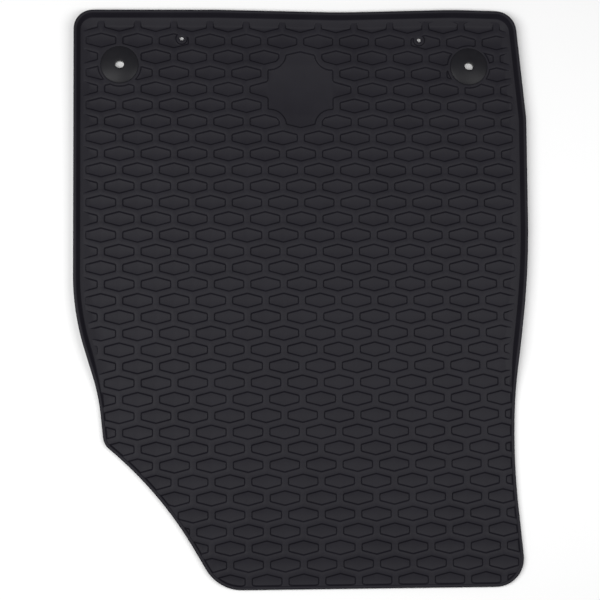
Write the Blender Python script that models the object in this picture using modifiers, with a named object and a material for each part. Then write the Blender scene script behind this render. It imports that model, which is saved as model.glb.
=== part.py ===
"""Moulded rubber car floor mat with two snap-in floor eyelets.

Frame: metres, +Z up, origin on the floor under the middle of the mat, +Y towards the end that carries the eyelets.
All dimensions below are in millimetres and become metres where a mesh is made.
"""

import math

import bmesh
import bpy
from mathutils import Matrix, Vector

MM = 0.001

# Outline of the mat, clockwise from the corner at -X +Y: x, y and the radius that rounds the corner
OUTLINE = (
    (-274.7, 346.8, 23),
    (-100.0, 348.0, 900),
    (48.0, 345.8, 900),
    (186.0, 350.2, 500),
    (261.8, 348.5, 26),
    (274.6, 216.0, 60),
    (274.8, 33.0, 990),
    (250.6, -165.4, 850),
    (268.2, -350.0, 34),
    (-102.8, -350.0, 50),
    (-170.6, -234.0, 460),
    (-238.5, -176.1, 20),
    (-244.6, -117.6, 250),
    (-274.7, -17.7, 300),
)
ARC_STEP = 14.0

# Heights above the floor
POCKET_FLOOR = 2.4
WEB_TOP = 4.8
HIGH_RIM = 14.0
LOW_BEAD = 5.8

# The rim is high from the eyelet end down to RIM_FALL_START and low from RIM_FALL_END on,
# with its section given for both: the width of its lip, the depth from the edge and the height of the knee
# below its steep side, the depth where its ramp meets the webs, and the depth where the pockets begin
RIM_FALL_START = -55.0
RIM_FALL_END = -138.0
HIGH_LIP = 3.7
HIGH_KNEE = (8.0, 7.0)
HIGH_FOOT = 11.6
HIGH_POCKETS = 13.6
LOW_LIP = 3.4
LOW_KNEE = (4.0, 5.0)
LOW_FOOT = 4.6
LOW_POCKETS = 5.1

# Lattice of hexagonal pockets, rows staggered by half a pitch and centred on the plain patch.
# A cell is left out where it doesn't reach this deep inside the edge, beside the high rim and the low one.
PITCH_X = 43.9
PITCH_Y = 19.76
CELL_HALF_WIDTH = 18.4
CELL_CORNER = 4.5
CELL_PEAK = 9.3
HIGH_REACH = 14.3
LOW_REACH = 8.6
PATCH_CENTRE = (-0.7, 252.4)
PATCH_REACH = 2
ROWS = range(-31, 6)  # counted from the patch, whole pitches
COLUMNS = range(-13, 14)  # counted from the patch, half pitches

# A quarter of the plain patch: its side tips, its shoulders, a round bite and its top tip
PATCH_TIP = (62.2, 4.4)
PATCH_SHOULDER = (40.3, 10.5, 24.6)
PATCH_PEAK = (18.2, 43.0, 47.4)
BITE_CENTRE = (37.9, 44.9)
BITE_RADIUS = 20.0
PATCH_BORDER = 6.2

# Floor eyelets: an upper flange whose tube passes the mat, and a ring that snaps onto it from below
EYELETS = {"left": (-219.9, 281.7), "right": (205.9, 281.7)}
PAD_RADIUS = 25.4
SEAT_HOLE_RADIUS = 18.0
SEAT_RECESS_RADIUS = 21.6
SEAT_RECESS_DEPTH = 2.0
GAP = 0.3
FLANGE_RADIUS = 22.7
FLANGE_CROWN = 8.9  # height that the dome would reach on its axis
DOME_RADIUS = 85.0
DOME_WALL = 1.6
CAVITY_RADII = (10.2, 16.2)
BORE_HALF_WIDTH = 5.4
BORE_HALF_HEIGHT = 4.8
BORE_START = 4.2  # radius of the turned bore, before it is cut oval
TUBE_RADIUS = 8.7
SNAP_BEAD_RADIUS = 9.4
SNAP_BEAD_TOP = 0.9
RING_UNDERSIDE = 0.3
ROUND_STEPS = 32

# Two small through holes near the eyelet end, each in a round boss as high as the webs
TIE_HOLES = ((-145.0, 314.3), (145.0, 314.3))
TIE_HOLE_RADIUS = 2.4
TIE_BOSS_RADIUS = 6.2

RUBBER = (0.024, 0.023, 0.028, 1.0)
EYELET_PLASTIC = (0.019, 0.019, 0.022, 1.0)


def clear_scene():
    for old in list(bpy.data.objects):
        bpy.data.objects.remove(old, do_unlink=True)


def new_collection(name):
    collection = bpy.data.collections.new(name)
    bpy.context.scene.collection.children.link(collection)
    return collection


def make_material(name, colour, roughness):
    material = bpy.data.materials.new(name)
    material.use_nodes = True
    shader = material.node_tree.nodes["Principled BSDF"]
    shader.inputs["Base Color"].default_value = colour
    shader.inputs["Roughness"].default_value = roughness
    shader.inputs["Metallic"].default_value = 0.0
    return material


def arc(centre, radius, start, end, steps):
    """Points along an arc, both ends included; angles in radians."""
    turn = (end - start) / steps
    return [
        Vector((centre[0] + radius * math.cos(start + turn * k), centre[1] + radius * math.sin(start + turn * k)))
        for k in range(steps + 1)
    ]


def round_corner(before, corner, after, radius):
    """The arc that rounds one corner of a polygon, tangent to both of its sides."""
    back = (before - corner).normalized()
    ahead = (after - corner).normalized()
    half = back.angle(ahead) / 2
    centre = corner + (back + ahead).normalized() * radius / math.sin(half)
    start = corner + back * radius / math.tan(half) - centre
    end = corner + ahead * radius / math.tan(half) - centre
    first = math.atan2(start.y, start.x)
    turn = (math.atan2(end.y, end.x) - first + math.pi) % math.tau - math.pi
    steps = max(3, math.ceil(radius * abs(turn) / ARC_STEP))
    return arc(centre, radius, first, first + turn, steps)


def mat_outline():
    corners = [Vector(row[:2]) for row in OUTLINE]
    points = []
    for k, row in enumerate(OUTLINE):
        points += round_corner(corners[k - 1], corners[k], corners[(k + 1) % len(corners)], row[2])
    return points


def inset(points, distances):
    """A clockwise loop moved inwards by one distance per point, square to its sides."""
    moved = []
    for k, point in enumerate(points):
        before = (point - points[k - 1]).normalized()
        after = (points[(k + 1) % len(points)] - point).normalized()
        inward = Vector((before.y + after.y, -before.x - after.x)).normalized()
        stretch = max(0.5, inward.dot(Vector((before.y, -before.x))))
        moved.append(point + inward * distances[k] / stretch)
    return moved


def low_share(y):
    """0 where the rim is high, 1 where it is low, with a smooth change between."""
    t = min(1.0, max(0.0, (RIM_FALL_START - y) / (RIM_FALL_START - RIM_FALL_END)))
    return t * t * (3 - 2 * t)


def blend(high, low, share):
    return high + (low - high) * share


def link_mesh(name, mesh, collection):
    obj = bpy.data.objects.new(name, mesh)
    collection.objects.link(obj)
    return obj


def tray(name, collection):
    """The mat without its pockets: a loft from the underside over the rim to the flat top of the webs."""
    outline = mat_outline()
    shares = [low_share(point.y) for point in outline]
    top = [blend(HIGH_RIM, LOW_BEAD, s) for s in shares]
    lip = inset(outline, [blend(HIGH_LIP, LOW_LIP, s) for s in shares])
    knee = inset(outline, [blend(HIGH_KNEE[0], LOW_KNEE[0], s) for s in shares])
    foot = inset(outline, [blend(HIGH_FOOT, LOW_FOOT, s) for s in shares])
    rings = (
        (outline, [0.0] * len(outline)),
        (outline, top),
        (lip, top),
        (knee, [blend(HIGH_KNEE[1], LOW_KNEE[1], s) for s in shares]),
        (foot, [WEB_TOP] * len(outline)),
    )
    bm = bmesh.new()
    loops = [
        [bm.verts.new((p.x * MM, p.y * MM, z * MM)) for p, z in zip(points, heights)] for points, heights in rings
    ]
    bm.faces.new(loops[0])
    bm.faces.new(reversed(loops[-1]))
    for lower, upper in zip(loops, loops[1:]):
        for k in range(len(lower)):
            bm.faces.new((lower[k - 1], upper[k - 1], upper[k], lower[k]))
    bmesh.ops.recalc_face_normals(bm, faces=bm.faces)
    mesh = bpy.data.meshes.new(name)
    bm.to_mesh(mesh)
    bm.free()
    return link_mesh(name, mesh, collection)


def flat_solid(name, loops, low, high, collection):
    """Upright solid between two heights whose plan is the given loops; a loop inside another is a hole."""
    curve = bpy.data.curves.new(name, "CURVE")
    curve.dimensions = "2D"
    curve.fill_mode = "BOTH"
    curve.extrude = (high - low) / 2 * MM
    for loop in loops:
        spline = curve.splines.new("POLY")
        spline.points.add(len(loop) - 1)
        for point, place in zip(spline.points, loop):
            point.co = (place[0] * MM, place[1] * MM, 0, 1)
        spline.use_cyclic_u = True
    guide = link_mesh(name + "_outline", curve, collection)
    guide.location.z = (low + high) / 2 * MM
    bpy.context.view_layer.update()
    mesh = bpy.data.meshes.new_from_object(guide.evaluated_get(bpy.context.evaluated_depsgraph_get()))
    mesh.transform(guide.matrix_world)
    bpy.data.objects.remove(guide, do_unlink=True)
    bm = bmesh.new()
    bm.from_mesh(mesh)
    bmesh.ops.remove_doubles(bm, verts=bm.verts, dist=0.00001)
    bmesh.ops.recalc_face_normals(bm, faces=bm.faces)
    bm.to_mesh(mesh)
    bm.free()
    mesh.name = name
    return link_mesh(name, mesh, collection)


def turned(name, profile, place, collection):
    """Solid of revolution from a closed profile of (radius, height), listed down its outer side."""
    mesh = bpy.data.meshes.new(name)
    edges = [(k, (k + 1) % len(profile)) for k in range(len(profile))]
    mesh.from_pydata([(r * MM, 0, z * MM) for r, z in profile], edges, [])
    obj = link_mesh(name, mesh, collection)
    obj.location = (place[0] * MM, place[1] * MM, 0)
    screw = obj.modifiers.new("turn", "SCREW")
    screw.steps = screw.render_steps = ROUND_STEPS
    screw.use_merge_vertices = True
    screw.merge_threshold = 0.00001
    screw.use_normal_calculate = False
    return obj


def cylinder(name, centre, radius, low, high, collection):
    bm = bmesh.new()
    bmesh.ops.create_cone(
        bm,
        cap_ends=True,
        segments=ROUND_STEPS,
        radius1=radius * MM,
        radius2=radius * MM,
        depth=(high - low) * MM,
        matrix=Matrix.Translation((centre[0] * MM, centre[1] * MM, (low + high) / 2 * MM)),
    )
    mesh = bpy.data.meshes.new(name)
    bm.to_mesh(mesh)
    bm.free()
    return link_mesh(name, mesh, collection)


def boolean(obj, cutter, operation="DIFFERENCE", solver="EXACT"):
    modifier = obj.modifiers.new(cutter.name, "BOOLEAN")
    modifier.operation = operation
    modifier.solver = solver
    modifier.object = cutter
    cutter.hide_render = True
    cutter.display_type = "WIRE"


def hexagon(centre):
    x, y = centre
    return [
        (x, y + CELL_PEAK),
        (x + CELL_HALF_WIDTH, y + CELL_CORNER),
        (x + CELL_HALF_WIDTH, y - CELL_CORNER),
        (x, y - CELL_PEAK),
        (x - CELL_HALF_WIDTH, y - CELL_CORNER),
        (x - CELL_HALF_WIDTH, y + CELL_CORNER),
    ]


def patch_outline():
    """The plain patch, clockwise from its top tip: one quarter, mirrored into the other three."""
    tip_x, tip_y = PATCH_TIP
    shoulder_x, shoulder_low, shoulder_high = PATCH_SHOULDER
    peak_x, peak_side, peak = PATCH_PEAK
    start = math.atan2(peak_side - BITE_CENTRE[1], peak_x - BITE_CENTRE[0]) % math.tau
    end = math.atan2(shoulder_high - BITE_CENTRE[1], shoulder_x - BITE_CENTRE[0]) % math.tau
    quarter = arc(BITE_CENTRE, BITE_RADIUS, start, end, 6)
    quarter += [Vector((shoulder_x, shoulder_low)), Vector((tip_x, tip_y))]
    right = [Vector((0, peak))] + quarter + [Vector((p.x, -p.y)) for p in reversed(quarter)]
    left = [Vector((-p.x, -p.y)) for p in right]
    return [p + Vector(PATCH_CENTRE) for p in right + left]


def in_patch(column, row):
    """Columns count half pitches. The patch takes the place of 1, 2, 3, 2 and 1 cells in five rows."""
    return abs(column) + abs(row) <= PATCH_REACH


def depth_inside(centre, loop):
    """How far the nearest corner side of a cell at centre reaches inside a clockwise loop; large if it is inside."""
    here = Vector(centre)
    nearest = None
    for k, point in enumerate(loop):
        side = point - loop[k - 1]
        share = min(1.0, max(0.0, (here - loop[k - 1]).dot(side) / side.length_squared))
        offset = loop[k - 1] + side * share - here
        if nearest is None or offset.length < nearest[0].length:
            nearest = (offset, side)
    offset, side = nearest
    if side.x * offset.y - side.y * offset.x > 0:
        return math.inf
    direction = offset.normalized()
    reach = max(Vector((p[0], p[1])).dot(direction) for p in hexagon((0, 0)))
    return reach - offset.length


def pocket_loops(limit):
    """The hexagon of every pocket that reaches inside the limit."""
    loops = []
    for row in ROWS:
        for column in COLUMNS:
            if (column + row) % 2 or in_patch(column, row):
                continue
            centre = (PATCH_CENTRE[0] + column * PITCH_X / 2, PATCH_CENTRE[1] + row * PITCH_Y)
            if depth_inside(centre, limit) > 0:
                loops.append(hexagon(centre))
    return loops


def mat_body(parts, cutters):
    """The one-piece rubber moulding."""
    mat = tray("mat_body", parts)
    outline = mat_outline()
    shares = [low_share(point.y) for point in outline]
    margin = inset(outline, [blend(HIGH_POCKETS, LOW_POCKETS, s) for s in shares])
    limit = inset(outline, [blend(HIGH_REACH, LOW_REACH, s) for s in shares])
    patch = patch_outline()
    above = 2 * HIGH_RIM
    pads = [arc(place, PAD_RADIUS, 0, math.tau, ROUND_STEPS)[:-1] for place in EYELETS.values()]
    pads += [arc(place, TIE_BOSS_RADIUS, 0, math.tau, ROUND_STEPS)[:-1] for place in TIE_HOLES]
    border = inset(patch, [-PATCH_BORDER] * len(patch))
    field = flat_solid("field_cutter", [margin, border, *pads], POCKET_FLOOR - 1, above + 1, cutters)
    pockets = flat_solid("pocket_cutter", pocket_loops(limit), POCKET_FLOOR, above, cutters)
    boolean(pockets, field, "INTERSECT", "MANIFOLD")
    boolean(mat, pockets, solver="MANIFOLD")
    boolean(mat, flat_solid("patch_cutter", [patch], POCKET_FLOOR, above, cutters))
    for side, place in EYELETS.items():
        boolean(mat, cylinder(f"seat_hole_{side}", place, SEAT_HOLE_RADIUS, -1, above, cutters))
        boolean(mat, cylinder(f"seat_recess_{side}", place, SEAT_RECESS_RADIUS, -1, SEAT_RECESS_DEPTH, cutters))
    for k, place in enumerate(TIE_HOLES):
        boolean(mat, cylinder(f"tie_hole_{k + 1}", place, TIE_HOLE_RADIUS, -1, above, cutters))
    return mat


def dome(radius):
    return FLANGE_CROWN - radius**2 / (2 * DOME_RADIUS)


def eyelet_flange(side, place, parts, cutters):
    """Domed disc that rests on the mat's pad, hollow below, with a tube down through the mat and a snap bead.

    Its bore is slightly oval, wider across the mat than along it.
    """
    rest = WEB_TOP + GAP
    spigot = SEAT_HOLE_RADIUS - GAP
    spigot_end = WEB_TOP - GAP
    tube_end = RING_UNDERSIDE + 0.1
    inner, outer = CAVITY_RADII
    profile = [
        (BORE_START, dome(BORE_START)),
        (11.0, dome(11.0)),
        (16.5, dome(16.5)),
        (FLANGE_RADIUS - 0.7, dome(FLANGE_RADIUS - 0.7)),
        (FLANGE_RADIUS, dome(FLANGE_RADIUS) - 0.4),
        (FLANGE_RADIUS, rest),
        (spigot, rest),
        (spigot, spigot_end),
        (outer, spigot_end),
        (outer, dome(outer) - DOME_WALL),
        (inner, dome(inner) - DOME_WALL),
        (TUBE_RADIUS, dome(inner) - 2 * DOME_WALL),
        (TUBE_RADIUS, SNAP_BEAD_TOP),
        (SNAP_BEAD_RADIUS, SNAP_BEAD_TOP),
        (TUBE_RADIUS, tube_end),
        (BORE_START, tube_end),
    ]
    flange = turned(f"eyelet_flange_{side}", profile, place, parts)
    bore = cylinder(f"bore_{side}", place, BORE_HALF_WIDTH, -1, 2 * HIGH_RIM, cutters)
    centre = Vector((place[0] * MM, place[1] * MM, 0))
    squeeze = Matrix.Scale(BORE_HALF_HEIGHT / BORE_HALF_WIDTH, 4, (0, 1, 0))
    bore.data.transform(Matrix.Translation(centre) @ squeeze @ Matrix.Translation(-centre))
    boolean(flange, bore)
    return flange


def eyelet_retainer(side, place, parts):
    """Flat ring in the recess of the underside; the flange's snap bead holds under the shoulder of its bore."""
    top = SEAT_RECESS_DEPTH - GAP
    bore = TUBE_RADIUS + GAP
    counterbore = SNAP_BEAD_RADIUS + GAP
    shoulder = SNAP_BEAD_TOP + GAP
    profile = [
        (bore, top),
        (SEAT_RECESS_RADIUS - GAP, top),
        (SEAT_RECESS_RADIUS - GAP, RING_UNDERSIDE),
        (counterbore, RING_UNDERSIDE),
        (counterbore, shoulder),
        (bore, shoulder),
    ]
    return turned(f"eyelet_retainer_{side}", profile, place, parts)


def main():
    clear_scene()
    parts = new_collection("floor_mat")
    cutters = new_collection("cutters")
    rubber = make_material("mat_rubber", RUBBER, 0.6)
    plastic = make_material("eyelet_plastic", EYELET_PLASTIC, 0.45)
    mat_body(parts, cutters).data.materials.append(rubber)
    for side, place in EYELETS.items():
        for piece in (eyelet_flange(side, place, parts, cutters), eyelet_retainer(side, place, parts)):
            piece.data.materials.append(plastic)


main()
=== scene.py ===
"""Looks of the moulded rubber floor mat and its two snap-in eyelets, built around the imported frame.

Shapes are worked out in millimetres and become metres where a mesh is made.
Frame: +Z up, origin on the floor under the middle of the mat, +Y towards the end that carries the eyelets.
"""

import math

import bmesh
import bpy
import numpy as np
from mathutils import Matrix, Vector
from mathutils.geometry import delaunay_2d_cdt


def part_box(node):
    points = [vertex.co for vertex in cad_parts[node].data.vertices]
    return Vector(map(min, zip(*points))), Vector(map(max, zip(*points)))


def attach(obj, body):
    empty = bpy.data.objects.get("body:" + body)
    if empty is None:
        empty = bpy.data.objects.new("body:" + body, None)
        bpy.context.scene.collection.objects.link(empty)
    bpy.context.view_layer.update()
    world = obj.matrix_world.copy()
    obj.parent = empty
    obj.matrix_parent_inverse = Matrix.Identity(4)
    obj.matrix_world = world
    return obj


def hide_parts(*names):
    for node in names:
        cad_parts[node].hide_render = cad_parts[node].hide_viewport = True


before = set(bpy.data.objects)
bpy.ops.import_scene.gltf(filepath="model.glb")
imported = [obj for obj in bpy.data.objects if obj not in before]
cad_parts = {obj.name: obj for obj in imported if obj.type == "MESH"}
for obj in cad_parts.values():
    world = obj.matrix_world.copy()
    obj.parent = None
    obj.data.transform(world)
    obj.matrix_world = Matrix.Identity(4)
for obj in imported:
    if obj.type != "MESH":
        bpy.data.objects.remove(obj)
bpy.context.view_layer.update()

MM = 0.001

# Outline of the mat, clockwise from the corner at -X +Y: x, y and the radius that rounds the corner
OUTLINE = (
    (-274.7, 346.8, 23),
    (-100.0, 348.0, 900),
    (48.0, 345.8, 900),
    (186.0, 350.2, 500),
    (261.8, 348.5, 26),
    (274.6, 216.0, 60),
    (274.8, 33.0, 990),
    (250.6, -165.4, 850),
    (268.2, -350.0, 34),
    (-102.8, -350.0, 50),
    (-170.6, -234.0, 460),
    (-238.5, -176.1, 20),
    (-244.6, -117.6, 250),
    (-274.7, -17.7, 300),
)
OUTLINE_STEP = 3.0

# Heights above the floor
SKIN_UNDERSIDE = 1.0
POCKET_FLOOR = 2.4
WEB_TOP = 4.8
HIGH_RIM = 14.0
LOW_BEAD = 5.8

# The rim is high down to RIM_FALL_START and a low bead from RIM_FALL_END on. Its section is given for both as
# (depth from the edge, height): the width of its lip, the two ends of its steep side, and the ramp from there
# to the pocket floor as four control points.
RIM_FALL_START = -55.0
RIM_FALL_END = -138.0
HIGH_LIP = 2.2
LOW_LIP = 2.0
HIGH_SIDE = ((3.9, 13.2), (7.6, 6.2))
LOW_SIDE = ((3.4, 5.5), (3.9, 5.0))
HIGH_RAMP = ((7.9, 5.7), (10.6, 5.2), (14.2, 3.8), (18.2, 2.4))
LOW_RAMP = ((4.1, 4.7), (4.6, 3.6), (4.9, 2.4), (5.9, 2.4))
SIDE_STEPS = 4
BORDER_STEP = 1  # where the rim's rings end and the top surface begins
RAMP_STEPS = 8
EDGE_ROUND = 1.4
EDGE_ANGLES = (0, 22.5, 45, 67.5, 90)
FOOT_WIDTH = 4.2
FOOT_SECTION = (
    (FOOT_WIDTH + 1.0, SKIN_UNDERSIDE),
    (FOOT_WIDTH + 0.4, 0.12),
    (FOOT_WIDTH, 0),
    (0.7, 0),
    (0.2, 0.2),
    (0, 0.7),
)
LIP_BEND = 0.6  # how far across the lip's slope its curve's control point lies
LIP_SHARES = (0, 0.3, 0.6, 0.85)
SURELY_DEEP = 30.0  # depth from the edge that is certainly past the rim

# Lattice of hexagonal pockets, rows staggered by half a pitch and centred on the plain patch.
# A cell is left out where it doesn't reach this deep inside the edge, beside the high rim and the low one.
PITCH_X = 43.9
PITCH_Y = 19.76
CELL_HALF_WIDTH = 18.4
CELL_CORNER = 4.5
CELL_PEAK = 9.3
CELL_ROUND = 2.2
HIGH_REACH = 14.3
LOW_REACH = 8.6
PATCH_CENTRE = (-0.7, 252.4)
PATCH_REACH = 2
ROWS = range(-31, 6)  # counted from the patch, whole pitches
COLUMNS = range(-13, 14)  # counted from the patch, half pitches
KEY_OFFSET = 100  # makes every row and column number positive
WALL_RUN = 2.3
WALL_TOP = 0.45  # how far the rounded top edge of a wall lies outside its outline
WALL_LEVELS = (0.0, 0.16, 0.32, 0.5, 0.68, 0.84, 1.0)  # share of the way from a pocket's floor to its web

# A quarter of the plain patch: its side tips, its shoulders, a round bite and its top tip
PATCH_TIP = (62.2, 4.4)
PATCH_SHOULDER = (40.3, 10.5, 24.6)
PATCH_PEAK = (18.2, 43.0, 47.4)
BITE_CENTRE = (37.9, 44.9)
BITE_RADIUS = 20.0
PATCH_BORDER = 6.2
PATCH_ROUND = 2.0
PATCH_NEAR = 12.0  # distances to the patch are worked out this far from it

# Eyelets and tie holes
PAD_RADIUS = 25.4
SEAT_HOLE_RADIUS = 18.0
SEAT_EDGE = 0.3
SEAT_RECESS_RADIUS = 21.6
SEAT_RECESS_DEPTH = 2.0
SEAT_COLLAR_RADIUS = 25.0
SEAT_COLLAR_SLOPE = 0.8
FLANGE_RADIUS = 22.7
FLANGE_CROWN = 8.9
DOME_RADIUS = 85.0
DOME_WALL = 1.6
CAVITY_RADII = (10.2, 16.2)
BORE_HALF_WIDTH = 5.4
BORE_HALF_HEIGHT = 4.8
TUBE_RADIUS = 8.7
SNAP_BEAD_RADIUS = 9.4
SNAP_BEAD_TOP = 0.9
RING_UNDERSIDE = 0.3
GAP = 0.3
TURN_STEPS = 96
TIE_HOLES = ((-145.0, 314.3), (145.0, 314.3))
TIE_HOLE_RADIUS = 2.4
TIE_BOSS_RADIUS = 6.2
TIE_EDGE = 0.4
TIE_STEPS = 32

# Small nibs under the mat that grip the carpet: pitch, the radii of their tip and foot, and their clearance
NIB_PITCH = 16.0
NIB_RADII = (0.8, 1.5)
NIB_SIDES = 8
NIB_CLEARANCE = 4.0

# Colours, each from its darker to its paler tone
RUBBER_TONES = ((0.0108, 0.0100, 0.0140), (0.0132, 0.0124, 0.0168))
PLASTIC_TONES = ((0.0090, 0.0088, 0.0110), (0.0115, 0.0112, 0.0135))
SPECULAR_LEVEL = 0.12
FLOOR_TONE = (0.9, 0.9, 0.9)
FLOOR_SIZE = 12
FLOOR_DROP = 0.0005

# Two softboxes aimed at the origin: place, size and power in watts
SOFTBOXES = {
    "softbox_left": ((-0.80, -0.05, 1.5), (0.5, 1.3), 21),
    "softbox_right": ((0.85, -0.08, 1.5), (0.5, 1.3), 15),
}
WORLD_STRENGTH = 0.2

# Camera: place in metres, turn in degrees, lens in millimetres
CAMERA_PLACE = (-0.1259, -0.1395, 1.9968)
CAMERA_TURN = (3.901, -3.500, -0.388)
CAMERA_LENS = 99.54


# ---------------------------------------------------------------- plane geometry, loops as arrays of (x, y)


def arc(centre, radius, start, end, steps):
    angles = np.linspace(start, end, steps + 1)
    return np.stack([centre[0] + radius * np.cos(angles), centre[1] + radius * np.sin(angles)], 1)


def circle(centre, radius, steps):
    return arc(centre, radius, 0, math.tau, steps)[:-1]


def unit(vector):
    return vector / np.linalg.norm(vector)


def rounded(corners, step=1.0):
    """Closed loop through corners given as (x, y, radius), each rounded by its arc."""
    places = [np.array(c[:2], float) for c in corners]
    loop = []
    for k, corner in enumerate(places):
        radius = corners[k][2]
        back = unit(places[k - 1] - corner)
        ahead = unit(places[(k + 1) % len(places)] - corner)
        half = math.acos(np.clip(back @ ahead, -1, 1)) / 2
        centre = corner + unit(back + ahead) * radius / math.sin(half)
        start = corner + back * radius / math.tan(half) - centre
        end = corner + ahead * radius / math.tan(half) - centre
        first = math.atan2(start[1], start[0])
        turn = (math.atan2(end[1], end[0]) - first + math.pi) % math.tau - math.pi
        loop.append(arc(centre, radius, first, first + turn, max(3, math.ceil(radius * abs(turn) / step))))
    return np.concatenate(loop)


def evenly(loop, step):
    """The same closed loop with points about one step apart."""
    closed = np.vstack([loop, loop[:1]])
    along = np.concatenate([[0], np.cumsum(np.linalg.norm(np.diff(closed, axis=0), axis=1))])
    count = max(3, round(along[-1] / step))
    places = np.linspace(0, along[-1], count, endpoint=False)
    return np.stack([np.interp(places, along, closed[:, k]) for k in (0, 1)], 1)


def inwards(loop):
    """Unit normals of a clockwise loop, pointing in."""
    tangent = np.roll(loop, -1, axis=0) - np.roll(loop, 1, axis=0)
    normal = np.stack([tangent[:, 1], -tangent[:, 0]], 1)
    return normal / np.linalg.norm(normal, axis=1, keepdims=True)


def distance_to(loop, points):
    """Distance from each point to a closed loop."""
    start, side = loop, np.roll(loop, -1, axis=0) - loop
    length = (side**2).sum(1)
    nearest = np.empty(len(points))
    for k in range(0, len(points), 2000):
        here = points[k : k + 2000, None, :] - start[None]
        share = np.clip((here * side).sum(2) / length, 0, 1)
        nearest[k : k + 2000] = np.sqrt(((here - share[..., None] * side) ** 2).sum(2).min(1))
    return nearest


def is_inside(loop, points):
    """Whether each point lies inside a closed loop."""
    x, y = points[:, 0, None], points[:, 1, None]
    x0, y0 = loop[:, 0], loop[:, 1]
    x1, y1 = np.roll(x0, -1), np.roll(y0, -1)
    crosses = (y0 > y) != (y1 > y)
    at = x0 + (y - y0) / np.where(y1 == y0, 1, y1 - y0) * (x1 - x0)
    return (crosses & (x < at)).sum(1) % 2 == 1


def beyond(loop, points, reach):
    """Signed distance to a loop, positive outside, worked out only within reach of its box."""
    result = np.full(len(points), reach, float)
    near = np.all((points > loop.min(0) - reach) & (points < loop.max(0) + reach), axis=1)
    if near.any():
        away = distance_to(loop, points[near])
        result[near] = np.where(is_inside(loop, points[near]), -away, away)
    return result


def radius_from(centre, points):
    return np.hypot(points[:, 0] - centre[0], points[:, 1] - centre[1])


def nearest_radius(centres, points, chunk=2000):
    """Distance from each point to the nearest centre."""
    nearest = np.empty(len(points))
    for k in range(0, len(points), chunk):
        nearest[k : k + chunk] = np.sqrt(((points[k : k + chunk, None] - centres[None]) ** 2).sum(2).min(1))
    return nearest


# ---------------------------------------------------------------- the rim


def low_share(y):
    """0 where the rim is high, 1 where it is low, with a smooth change between."""
    t = np.clip((RIM_FALL_START - y) / (RIM_FALL_START - RIM_FALL_END), 0, 1)
    return t * t * (3 - 2 * t)


def blend(high, low, share):
    return high + (low - high) * share


def mixed(weights, high, low, share):
    """Weighted mean of (depth, height) points that change from high to low with share."""
    return [sum(w * blend(h[k], l[k], share) for w, h, l in zip(weights, high, low)) for k in (0, 1)]


def inner_side(step, share):
    """Depth and height on the rim's inner side, in whole steps down its steep part and then its ramp."""
    if step < SIDE_STEPS:
        t = step / (SIDE_STEPS - 1)
        return mixed((1 - t, t), HIGH_SIDE, LOW_SIDE, share)
    t = (step - SIDE_STEPS) / RAMP_STEPS
    weights = ((1 - t) ** 3, 3 * (1 - t) ** 2 * t, 3 * (1 - t) * t**2, t**3)
    return mixed(weights, HIGH_RAMP, LOW_RAMP, share)


def rim_rings(share):
    """(depth, height) arrays of each ring: from inside the foot, round the outer wall, to the steep side."""
    top = blend(HIGH_RIM, LOW_BEAD, share)
    lip = blend(HIGH_LIP, LOW_LIP, share)
    same = np.ones_like(share)
    rings = [(same * depth, same * height) for depth, height in FOOT_SECTION]
    for angle in np.radians(EDGE_ANGLES):
        rings.append((same * EDGE_ROUND * (1 - math.cos(angle)), top - EDGE_ROUND * (1 - math.sin(angle))))
    start_depth, start_height = inner_side(0, share)
    bend = blend(lip, start_depth, LIP_BEND)
    for t in LIP_SHARES:
        depth = (1 - t) ** 2 * lip + 2 * t * (1 - t) * bend + t * t * start_depth
        height = (1 - t) ** 2 * top + 2 * t * (1 - t) * top + t * t * start_height
        rings.append((depth, height))
    rings.append((start_depth, start_height))
    rings.append(inner_side(BORDER_STEP, share))
    return rings


def rim_height(depth, y):
    """Height of the rim's inner slope at a depth from the edge; -1 past its foot."""
    share = low_share(y)
    height = np.full(len(depth), -1.0)
    last_depth, last_height = inner_side(0, share)
    height[depth < last_depth] = HIGH_RIM
    for step in range(1, SIDE_STEPS + RAMP_STEPS + 1):
        next_depth, next_height = inner_side(step, share)
        here = (depth >= last_depth - 1e-9) & (depth < next_depth)
        part = ((depth - last_depth) / (next_depth - last_depth))[here]
        height[here] = last_height[here] + (next_height - last_height)[here] * part
        last_depth, last_height = next_depth, next_height
    return height


# ---------------------------------------------------------------- the lattice


def hexagon():
    """Corners of a pocket before rounding, clockwise from the top."""
    across, corner, peak = CELL_HALF_WIDTH, CELL_CORNER, CELL_PEAK
    return np.array([
        (0, peak), (across, corner), (across, -corner), (0, -peak), (-across, -corner), (-across, corner)
    ])


def slanted_side():
    """Unit normal of a pocket's upper right side, and that side's distance from the pocket's centre."""
    normal = unit(np.array([CELL_PEAK - CELL_CORNER, CELL_HALF_WIDTH]))
    return normal, normal[1] * CELL_PEAK


def core_corners():
    """Corners of the hexagon that is CELL_ROUND smaller all round, clockwise from the top."""
    normal, offset = slanted_side()
    side = CELL_HALF_WIDTH - CELL_ROUND
    peak = (offset - CELL_ROUND) / normal[1]
    corner = (offset - CELL_ROUND - normal[0] * side) / normal[1]
    return [(0, peak), (side, corner), (side, -corner), (0, -peak), (-side, -corner), (-side, corner)]


def cell_contour(offset):
    """A pocket's rounded outline, clockwise, moved out by offset."""
    normal, _ = slanted_side()
    tilt = math.atan2(normal[1], normal[0])
    facing = (math.pi - tilt, tilt, 0, -tilt, tilt - math.pi, -math.pi, -math.pi - tilt)
    radius = CELL_ROUND + offset
    points = []
    for k, corner in enumerate(core_corners()):
        points.append(arc(corner, radius, facing[k], facing[k + 1], 2))
    return np.concatenate(points)


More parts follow.
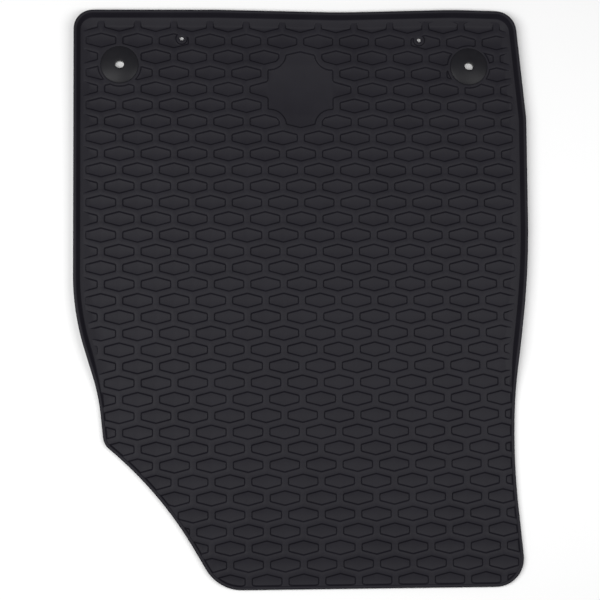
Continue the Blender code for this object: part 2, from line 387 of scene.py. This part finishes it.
def cell_distance(local):
    """Signed distance from points, given from a pocket's centre, to its rounded outline; negative inside."""
    p = np.abs(local)
    top, corner = (np.array(c) for c in core_corners()[:2])
    normal, offset = slanted_side()
    inside = np.maximum(p[:, 0] - corner[0], p @ normal - (offset - CELL_ROUND))
    away = np.full(len(p), np.inf)
    for start, end in ((top, corner), (corner, corner * (1, 0))):
        side = end - start
        share = np.clip(((p - start) @ side) / (side @ side), 0, 1)
        away = np.minimum(away, np.linalg.norm(p - start - share[:, None] * side, axis=1))
    return np.where(inside < 0, inside, away) - CELL_ROUND


def wall(distance):
    """Height across a wall from a signed distance, positive on the web's side of its outline."""
    t = np.clip(1 + (distance - WALL_TOP) / WALL_RUN, 0, 1)
    return POCKET_FLOOR + (WEB_TOP - POCKET_FLOOR) * t**3 * (10 - 15 * t + 6 * t * t)


def patch_outline():
    """The plain patch, clockwise from its top tip: one quarter, mirrored into the other three."""
    tip_x, tip_y = PATCH_TIP
    shoulder_x, shoulder_low, shoulder_high = PATCH_SHOULDER
    peak_x, peak_side, peak = PATCH_PEAK
    start = math.atan2(peak_side - BITE_CENTRE[1], peak_x - BITE_CENTRE[0]) % math.tau
    end = math.atan2(shoulder_high - BITE_CENTRE[1], shoulder_x - BITE_CENTRE[0]) % math.tau
    bite = [(x, y, 0.5) for x, y in arc(BITE_CENTRE, BITE_RADIUS, start, end, 12)[1:-1]]
    quarter = [(peak_x, peak_side, 1.0), *bite, (shoulder_x, shoulder_high, 1.0)]
    quarter += [(shoulder_x, shoulder_low, PATCH_ROUND), (tip_x, tip_y, PATCH_ROUND)]
    right = [(0.0, peak, 3.0), *quarter, *[(x, -y, r) for x, y, r in reversed(quarter)]]
    left = [(-x, -y, r) for x, y, r in right]
    return evenly(rounded(right + left, 0.6), 1.6) + PATCH_CENTRE


def in_patch(column, row):
    """Whether the patch takes this cell's place: 1, 2, 3, 2 and 1 cells in five rows."""
    return abs(column) + abs(row) <= PATCH_REACH


class Plan:
    """Everything about the mat's plan that the height functions share."""

    def __init__(self, eyelets):
        self.outline = evenly(rounded(OUTLINE), OUTLINE_STEP)
        self.normals = inwards(self.outline)
        self.share = low_share(self.outline[:, 1])
        self.patch = patch_outline()
        self.eyelets = eyelets
        self.cells = self.find_cells()
        self.centres = [self.centre_of(*cell) for cell in self.cells]

    def ring(self, depth):
        """The outline moved inwards by one depth per point."""
        return self.outline + self.normals * np.reshape(depth, (-1, 1))

    @staticmethod
    def centre_of(column, row):
        return np.array([PATCH_CENTRE[0] + column * PITCH_X / 2, PATCH_CENTRE[1] + row * PITCH_Y])

    def find_cells(self):
        """(column, row) of the pockets that reach deep enough inside the edge."""
        limit = evenly(self.ring(blend(HIGH_REACH, LOW_REACH, self.share)), 6.0)
        side = np.roll(limit, -1, axis=0) - limit

        def reaches(centre):
            if is_inside(limit, centre[None])[0]:
                return True
            share = np.clip(((centre - limit) * side).sum(1) / (side**2).sum(1), 0, 1)
            offset = limit + side * share[:, None] - centre
            nearest = offset[np.argmin((offset**2).sum(1))]
            return (hexagon() @ unit(nearest)).max() > np.linalg.norm(nearest)

        return [
            (column, row)
            for row in ROWS
            for column in COLUMNS
            if (column + row) % 2 == 0 and not in_patch(column, row) and reaches(self.centre_of(column, row))
        ]

    def pocket_distance(self, points):
        """Signed distance to the nearest pocket, negative inside."""
        nearest = np.full(len(points), 9.0)
        row_here = np.round((points[:, 1] - PATCH_CENTRE[1]) / PITCH_Y).astype(int)
        across = (points[:, 0] - PATCH_CENTRE[0]) / (PITCH_X / 2)
        known = np.array(self.cells) + KEY_OFFSET
        grid = np.zeros((2 * KEY_OFFSET, 2 * KEY_OFFSET), bool)
        grid[known[:, 0], known[:, 1]] = True
        for row in (row_here - 1, row_here, row_here + 1):
            odd = row % 2
            column = (2 * np.round((across - odd) / 2) + odd).astype(int)
            centre = np.stack([PATCH_CENTRE[0] + column * PITCH_X / 2, PATCH_CENTRE[1] + row * PITCH_Y], 1)
            there = grid[column + KEY_OFFSET, row + KEY_OFFSET]
            nearest = np.where(there, np.minimum(nearest, cell_distance(points - centre)), nearest)
        return nearest

    def cover(self, points, depth):
        """Height of what lies over the lattice: rim, pads, bosses and the patch's border."""
        height = rim_height(depth, points[:, 1])
        for centre in self.eyelets:
            height = np.maximum(height, wall(PAD_RADIUS - radius_from(centre, points)))
        for centre in TIE_HOLES:
            height = np.maximum(height, wall(TIE_BOSS_RADIUS - radius_from(centre, points)))
        return np.maximum(height, wall(PATCH_BORDER - beyond(self.patch, points, PATCH_NEAR)))

    def depth(self, points):
        """Distance from the mat's edge; SURELY_DEEP where it is more than that."""
        deep = np.full(len(points), SURELY_DEEP)
        near = nearest_radius(self.outline[::6], points, 5000) < SURELY_DEEP
        deep[near] = distance_to(self.outline, points[near])
        return deep

    def top(self, points):
        """Height of the mat's upper side."""
        depth = self.depth(points)
        height = np.maximum(wall(self.pocket_distance(points)), self.cover(points, depth))
        from_patch = beyond(self.patch, points, PATCH_NEAR)
        return np.where(from_patch < PATCH_BORDER / 2, wall(from_patch), height)


# ---------------------------------------------------------------- meshes


def triangulate(border, holes, contours):
    """Delaunay triangles inside border and outside holes that keep every contour's edges.

    A contour is (points, edges). Returns points, triangles and, for each border or hole point, its index.
    Four far points surround the border, so that its straight stretches get no flat triangles outside it.
    """
    points = [border, *holes, *[c[0] for c in contours]]
    edges, base = [], 0
    for loop in (border, *holes):
        edges += [(base + k, base + (k + 1) % len(loop)) for k in range(len(loop))]
        base += len(loop)
    fixed = base
    for loop, links in contours:
        edges += [(base + a, base + b) for a, b in links]
        base += len(loop)
    reach = 4 * np.abs(border).max()
    far = np.array([(-reach, -reach), (reach, -reach), (reach, reach), (-reach, reach)])
    flat = [Vector(p) for p in np.concatenate([*points, far]).tolist()]
    found, _, faces, origins, _, _ = delaunay_2d_cdt(flat, edges, [], 0, 1e-5, True)
    found = np.array([(p.x, p.y) for p in found])
    owner = np.full(len(found), -1)
    limits = np.cumsum([0, len(border), *[len(h) for h in holes]])
    place_of = {}
    for k, ids in enumerate(origins):
        for i in ids:
            if i < fixed:
                owner[k] = int(np.searchsorted(limits, i, side="right")) - 1
                place_of[i] = k
    faces = np.array(faces)
    near = np.abs(found).max(1) < reach / 2
    faces = faces[near[faces].all(1)]
    kinds = owner[faces]
    together = (kinds[:, 0] == kinds[:, 1]) & (kinds[:, 1] == kinds[:, 2])
    drop = together & (kinds[:, 0] > 0)
    edge_only = np.flatnonzero(together & (kinds[:, 0] == 0))
    drop[edge_only] = ~is_inside(border, found[faces[edge_only]].mean(1))
    index = np.cumsum(near) - 1
    return found[near], index[faces[~drop]], [index[place_of[i]] for i in range(fixed)]


def closed_contour(loop):
    return loop, [(k, (k + 1) % len(loop)) for k in range(len(loop))]


def clipped(loop, keep):
    """The stretches of a closed loop whose points are kept."""
    index = np.cumsum(keep) - 1
    after = np.roll(keep, -1)
    links = [(index[k], index[(k + 1) % len(loop)]) for k in np.flatnonzero(keep & after)]
    return loop[keep], links


class Shell:
    """Collects vertices and faces in millimetres."""

    def __init__(self):
        self.vertices, self.faces, self.count = [], [], 0

    def add(self, vertices, faces):
        self.vertices.append(vertices)
        self.faces += (np.asarray(faces) + self.count).tolist()
        self.count += len(vertices)

    def strip(self, lower, upper):
        """Quads between two closed loops of 3-D points."""
        n = len(lower)
        k = np.arange(n)
        after = (k + 1) % n
        self.add(np.concatenate([lower, upper]), np.stack([k, n + k, n + after, after], 1))

    def build(self, name):
        mesh = bpy.data.meshes.new(name)
        mesh.from_pydata((np.concatenate(self.vertices) * MM).tolist(), [], self.faces)
        bm = bmesh.new()
        bm.from_mesh(mesh)
        bmesh.ops.remove_doubles(bm, verts=bm.verts, dist=2e-6)
        bmesh.ops.recalc_face_normals(bm, faces=bm.faces)
        bm.to_mesh(mesh)
        bm.free()
        mesh.shade_smooth()
        obj = bpy.data.objects.new(name, mesh)
        bpy.context.scene.collection.objects.link(obj)
        return obj


def lift(loop, height):
    return np.column_stack([loop, np.broadcast_to(height, len(loop))])


def top_contours(plan):
    """The loops that the top surface's mesh follows."""
    contours = []
    for step in range(BORDER_STEP + 1, SIDE_STEPS + RAMP_STEPS + 1):
        contours.append(closed_contour(plan.ring(inner_side(step, plan.share)[0])))
    offsets = [WALL_TOP + (level - 1) * WALL_RUN for level in WALL_LEVELS]
    for offset in offsets:
        for centre in plan.eyelets:
            contours.append(closed_contour(circle(centre, PAD_RADIUS - offset, TURN_STEPS)))
        for centre in TIE_HOLES:
            contours.append(closed_contour(circle(centre, TIE_BOSS_RADIUS - offset, TIE_STEPS)))
        for out in (offset, PATCH_BORDER - offset):
            loop = plan.patch - inwards(plan.patch) * out
            true = np.abs(np.abs(beyond(plan.patch, loop, PATCH_NEAR)) - abs(out)) < 0.05
            contours.append(clipped(loop, true))
    shapes = [cell_contour(offset) for offset in offsets]
    fine = [evenly(shape, 1.3) for shape in shapes]
    reach = 26.0
    for centre in plan.centres:
        near = plan.depth(centre[None])[0] < reach + 5
        near |= any(math.dist(centre, e) < PAD_RADIUS + reach for e in plan.eyelets)
        near |= any(math.dist(centre, t) < TIE_BOSS_RADIUS + reach for t in TIE_HOLES)
        near |= beyond(plan.patch, centre[None], 40.0)[0] < PATCH_BORDER + reach
        if not near:
            contours += [closed_contour(shape + centre) for shape in shapes]
            continue
        loops = [shape + centre for shape in fine]
        points = np.concatenate(loops)
        depth = plan.depth(points)
        free = plan.cover(points, depth) < WEB_TOP - 0.001
        limit = inner_side(BORDER_STEP, low_share(points[:, 1]))[0] + 0.2
        inside = (depth > limit) & is_inside(plan.outline, points)
        at = 0
        for loop in loops:
            here = free[at : at + len(loop)]
            keep = (here | np.roll(here, 1) | np.roll(here, -1)) & inside[at : at + len(loop)]
            at += len(loop)
            if keep.any():
                contours.append(clipped(loop, keep))
    return contours


def nib_centres(plan):
    """Staggered grid of nib places, clear of the foot, the eyelets and the tie holes."""
    low, high = plan.outline.min(0), plan.outline.max(0)
    rows = np.arange(low[1], high[1], NIB_PITCH * math.sqrt(3) / 2)
    columns = np.arange(low[0], high[0], NIB_PITCH)
    points = np.array([(x + (k % 2) * NIB_PITCH / 2, y) for k, y in enumerate(rows) for x in columns])
    keep = is_inside(plan.outline, points) & (plan.depth(points) > FOOT_WIDTH + NIB_CLEARANCE + 1)
    for centre in plan.eyelets:
        keep &= radius_from(centre, points) > SEAT_COLLAR_RADIUS + NIB_CLEARANCE
    for centre in TIE_HOLES:
        keep &= radius_from(centre, points) > TIE_HOLE_RADIUS + NIB_CLEARANCE
    return points[keep]


def add_upper_side(shell, plan, border):
    """The top surface, which joins the rim's last ring, given as 3-D points."""
    seats = [circle(c, SEAT_HOLE_RADIUS + SEAT_EDGE, TURN_STEPS) for c in plan.eyelets]
    ties = [circle(c, TIE_HOLE_RADIUS + TIE_EDGE, TIE_STEPS) for c in TIE_HOLES]
    points, faces, places = triangulate(border[:, :2], seats + ties, top_contours(plan))
    height = plan.top(points)
    height[places[: len(border)]] = border[:, 2]
    shell.add(lift(points, height), faces)


def add_underside(shell, plan, border):
    """The underside between the foot, the eyelets' collars and the nibs."""
    nibs = nib_centres(plan)
    collars = (SEAT_COLLAR_RADIUS, SEAT_COLLAR_RADIUS + SEAT_COLLAR_SLOPE)
    contours = [closed_contour(circle(c, r, NIB_SIDES)) for c in nibs for r in NIB_RADII]
    contours += [closed_contour(circle(c, r, TURN_STEPS)) for c in plan.eyelets for r in collars]
    seats = [circle(c, SEAT_RECESS_RADIUS, TURN_STEPS) for c in plan.eyelets]
    ties = [circle(c, TIE_HOLE_RADIUS, TIE_STEPS) for c in TIE_HOLES]
    points, faces, _ = triangulate(border[:, :2], seats + ties, contours)
    away = nearest_radius(nibs, points)
    height = SKIN_UNDERSIDE * np.clip((away - NIB_RADII[0]) / (NIB_RADII[1] - NIB_RADII[0]), 0, 1)
    for centre in plan.eyelets:
        collar = (radius_from(centre, points) - SEAT_COLLAR_RADIUS) / SEAT_COLLAR_SLOPE
        height = np.minimum(height, SKIN_UNDERSIDE * np.clip(collar, 0, 1))
    shell.add(lift(points, height), faces)


def add_hole(shell, centre, section, steps):
    """The wall of a round hole through the mat, from its section as (radius, height)."""
    loops = [lift(circle(centre, r, steps), z) for r, z in section]
    for lower, upper in zip(loops, loops[1:]):
        shell.strip(lower, upper)


def mat_shell(plan):
    """The whole moulding as one closed skin."""
    shell = Shell()
    rings = [lift(plan.ring(depth), height) for depth, height in rim_rings(plan.share)]
    for lower, upper in zip(rings, rings[1:]):
        shell.strip(lower, upper)
    add_upper_side(shell, plan, rings[-1])
    add_underside(shell, plan, rings[0])
    seat_section = (
        (SEAT_RECESS_RADIUS, 0),
        (SEAT_RECESS_RADIUS, SEAT_RECESS_DEPTH),
        (SEAT_HOLE_RADIUS, SEAT_RECESS_DEPTH),
        (SEAT_HOLE_RADIUS, WEB_TOP - SEAT_EDGE),
        (SEAT_HOLE_RADIUS + SEAT_EDGE, WEB_TOP),
    )
    for centre in plan.eyelets:
        add_hole(shell, centre, seat_section, TURN_STEPS)
    tie_section = (
        (TIE_HOLE_RADIUS, SKIN_UNDERSIDE),
        (TIE_HOLE_RADIUS, WEB_TOP - TIE_EDGE),
        (TIE_HOLE_RADIUS + 0.3 * TIE_EDGE, WEB_TOP - 0.3 * TIE_EDGE),
        (TIE_HOLE_RADIUS + TIE_EDGE, WEB_TOP),
    )
    for centre in TIE_HOLES:
        add_hole(shell, centre, tie_section, TIE_STEPS)
    return shell


def fillet(before, corner, after, radius, steps=4):
    """Points of the arc that rounds one corner of a turned profile."""
    before, corner, after = (np.array(p, float) for p in (before, corner, after))
    back, ahead = unit(before - corner), unit(after - corner)
    half = math.acos(np.clip(back @ ahead, -1, 1)) / 2
    centre = corner + unit(back + ahead) * radius / math.sin(half)
    start = corner + back * radius / math.tan(half) - centre
    end = corner + ahead * radius / math.tan(half) - centre
    first = math.atan2(start[1], start[0])
    turn = (math.atan2(end[1], end[0]) - first + math.pi) % math.tau - math.pi
    return arc(centre, radius, first, first + turn, steps).tolist()


def turned(name, centre, corners, squeezed_within=0.0):
    """Solid of revolution whose closed section is given as (radius, height, rounding).

    Its rings within the radius squeezed_within are squeezed along Y, which makes a bore oval.
    """
    section = []
    for k, (r, z, rounding) in enumerate(corners):
        if rounding:
            before, after = corners[k - 1][:2], corners[(k + 1) % len(corners)][:2]
            section += fillet(before, (r, z), after, rounding)
        else:
            section.append((r, z))
    shell = Shell()
    loops = []
    for r, z in section:
        loop = circle((0, 0), r, TURN_STEPS)
        if r < squeezed_within:
            loop[:, 1] -= loop[:, 1] / r * (BORE_HALF_WIDTH - BORE_HALF_HEIGHT)
        loops.append(lift(loop + centre, z))
    for lower, upper in zip(loops, loops[1:] + loops[:1]):
        shell.strip(lower, upper)
    obj = shell.build(name)
    obj.data.set_sharp_from_angle(angle=math.radians(50))
    return obj


def dome(radius):
    return FLANGE_CROWN - radius**2 / (2 * DOME_RADIUS)


def eyelet_flange(side, centre):
    """Domed disc over the mat, hollow below, with a tube down through the mat and a snap bead."""
    rest = WEB_TOP + 0.06
    spigot = SEAT_HOLE_RADIUS - GAP
    spigot_end = WEB_TOP - GAP
    tube_end = RING_UNDERSIDE + 0.1
    inner, outer = CAVITY_RADII
    corners = [(BORE_HALF_WIDTH, dome(BORE_HALF_WIDTH), 0.6)]
    corners += [(r, dome(r), 0) for r in (8.0, 10.5, 13.0, 15.5, 18.0, 20.0)]
    corners += [
        (FLANGE_RADIUS, dome(FLANGE_RADIUS), 0.7),
        (FLANGE_RADIUS, rest, 0.15),
        (spigot, rest, 0),
        (spigot, spigot_end, 0.2),
        (outer, spigot_end, 0.2),
        (outer, dome(outer) - DOME_WALL, 0.3),
        (inner, dome(inner) - DOME_WALL, 0),
        (TUBE_RADIUS, dome(inner) - 2 * DOME_WALL, 0),
        (TUBE_RADIUS, SNAP_BEAD_TOP, 0),
        (SNAP_BEAD_RADIUS, SNAP_BEAD_TOP, 0.1),
        (TUBE_RADIUS, tube_end, 0.1),
        (BORE_HALF_WIDTH, tube_end, 0.2),
    ]
    return turned(f"eyelet_dome_{side}", centre, corners, squeezed_within=BORE_HALF_WIDTH + 1)


def eyelet_retainer(side, centre):
    """Ring in the recess of the underside, with a shoulder over the snap bead."""
    top = SEAT_RECESS_DEPTH - GAP
    bore = TUBE_RADIUS + GAP
    counterbore = SNAP_BEAD_RADIUS + GAP
    shoulder = SNAP_BEAD_TOP + GAP
    corners = [
        (bore, top, 0.1),
        (SEAT_RECESS_RADIUS - GAP, top, 0.2),
        (SEAT_RECESS_RADIUS - GAP, RING_UNDERSIDE, 0.3),
        (counterbore, RING_UNDERSIDE, 0.2),
        (counterbore, shoulder, 0),
        (bore, shoulder, 0.1),
    ]
    return turned(f"eyelet_ring_{side}", centre, corners)


# ---------------------------------------------------------------- materials, stage, light and camera


def node(tree, kind, **values):
    """A new shader node with its properties or, failing that, its inputs set."""
    made = tree.nodes.new(kind)
    for name, value in values.items():
        if hasattr(made, name):
            setattr(made, name, value)
        else:
            made.inputs[name.replace("_", " ")].default_value = value
    return made


def grained(name, tones, roughness, grain_size, grain_depth, mottle_size):
    """Moulded rubber or plastic: a fine grain in relief, and slow changes of tone and gloss.

    Sizes are in millimetres.
    """
    material = bpy.data.materials.new(name)
    material.use_nodes = True
    tree = material.node_tree
    shader = tree.nodes["Principled BSDF"]
    place = node(tree, "ShaderNodeTexCoord")
    grain = node(tree, "ShaderNodeTexNoise", Scale=1 / (grain_size * MM), Detail=3.0, Roughness=0.6)
    mottle = node(tree, "ShaderNodeTexNoise", Scale=1 / (mottle_size * MM), Detail=4.0, Roughness=0.55)
    tone = node(tree, "ShaderNodeValToRGB")
    for stop, position, colour in zip(tone.color_ramp.elements, (0.35, 0.7), tones):
        stop.position = position
        stop.color = (*colour, 1)
    gloss = node(tree, "ShaderNodeMapRange")
    gloss.inputs["To Min"].default_value = roughness - 0.05
    gloss.inputs["To Max"].default_value = roughness + 0.05
    shader.inputs["Specular IOR Level"].default_value = SPECULAR_LEVEL
    relief = node(tree, "ShaderNodeBump", Strength=1.0, Distance=grain_depth * MM)
    for texture in (grain, mottle):
        tree.links.new(place.outputs["Object"], texture.inputs["Vector"])
    tree.links.new(mottle.outputs["Fac"], tone.inputs["Fac"])
    tree.links.new(tone.outputs["Color"], shader.inputs["Base Color"])
    tree.links.new(mottle.outputs["Fac"], gloss.inputs["Value"])
    tree.links.new(gloss.outputs["Result"], shader.inputs["Roughness"])
    tree.links.new(grain.outputs["Fac"], relief.inputs["Height"])
    tree.links.new(relief.outputs["Normal"], shader.inputs["Normal"])
    return material


def plain(name, colour, roughness):
    material = bpy.data.materials.new(name)
    material.use_nodes = True
    shader = material.node_tree.nodes["Principled BSDF"]
    shader.inputs["Base Color"].default_value = (*colour, 1)
    shader.inputs["Roughness"].default_value = roughness
    return material


def make_floor():
    bpy.ops.mesh.primitive_plane_add(size=FLOOR_SIZE, location=(0, 0, -FLOOR_DROP))
    floor = bpy.context.object
    floor.name = "floor"
    floor.data.materials.append(plain("pale_floor", FLOOR_TONE, 0.9))


def softbox(name, place, size, power):
    """Rectangular light aimed at the origin."""
    light = bpy.data.lights.new(name, "AREA")
    light.shape = "RECTANGLE"
    light.size, light.size_y = size
    light.energy = power
    obj = bpy.data.objects.new(name, light)
    obj.location = place
    obj.rotation_euler = (-Vector(place)).to_track_quat("-Z", "Y").to_euler()
    bpy.context.scene.collection.objects.link(obj)


def make_lights():
    for name, settings in SOFTBOXES.items():
        softbox(name, *settings)
    world = bpy.data.worlds.new("studio")
    world.use_nodes = True
    background = world.node_tree.nodes["Background"]
    background.inputs["Color"].default_value = (1, 1, 1, 1)
    background.inputs["Strength"].default_value = WORLD_STRENGTH
    bpy.context.scene.world = world
    bpy.context.scene.view_settings.view_transform = "Standard"


def make_camera():
    camera = bpy.data.objects.new("camera", bpy.data.cameras.new("camera"))
    camera.data.lens = CAMERA_LENS
    camera.location = CAMERA_PLACE
    camera.rotation_euler = [math.radians(a) for a in CAMERA_TURN]
    bpy.context.scene.collection.objects.link(camera)
    bpy.context.scene.camera = camera


def eyelet_centre(side):
    """Where the frame has this eyelet, in millimetres."""
    low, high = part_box(f"eyelet_flange_{side}")
    return np.array([(low.x + high.x) / 2, (low.y + high.y) / 2]) / MM


def finish_piece(piece, material, cad_node):
    piece.data.materials.append(material)
    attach(piece, "root")
    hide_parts(cad_node)


def main():
    make_camera()
    make_lights()
    make_floor()
    rubber = grained("moulded_rubber", RUBBER_TONES, 0.5, grain_size=0.6, grain_depth=0.05, mottle_size=40)
    plastic = grained("eyelet_plastic", PLASTIC_TONES, 0.4, grain_size=0.5, grain_depth=0.02, mottle_size=15)
    centres = {side: eyelet_centre(side) for side in ("left", "right")}
    plan = Plan(list(centres.values()))
    mat = mat_shell(plan).build("rubber_mat")
    mat.data.set_sharp_from_angle(angle=math.radians(60))
    finish_piece(mat, rubber, "mat_body")
    for side, centre in centres.items():
        finish_piece(eyelet_flange(side, centre), plastic, f"eyelet_flange_{side}")
        finish_piece(eyelet_retainer(side, centre), plastic, f"eyelet_retainer_{side}")


main()
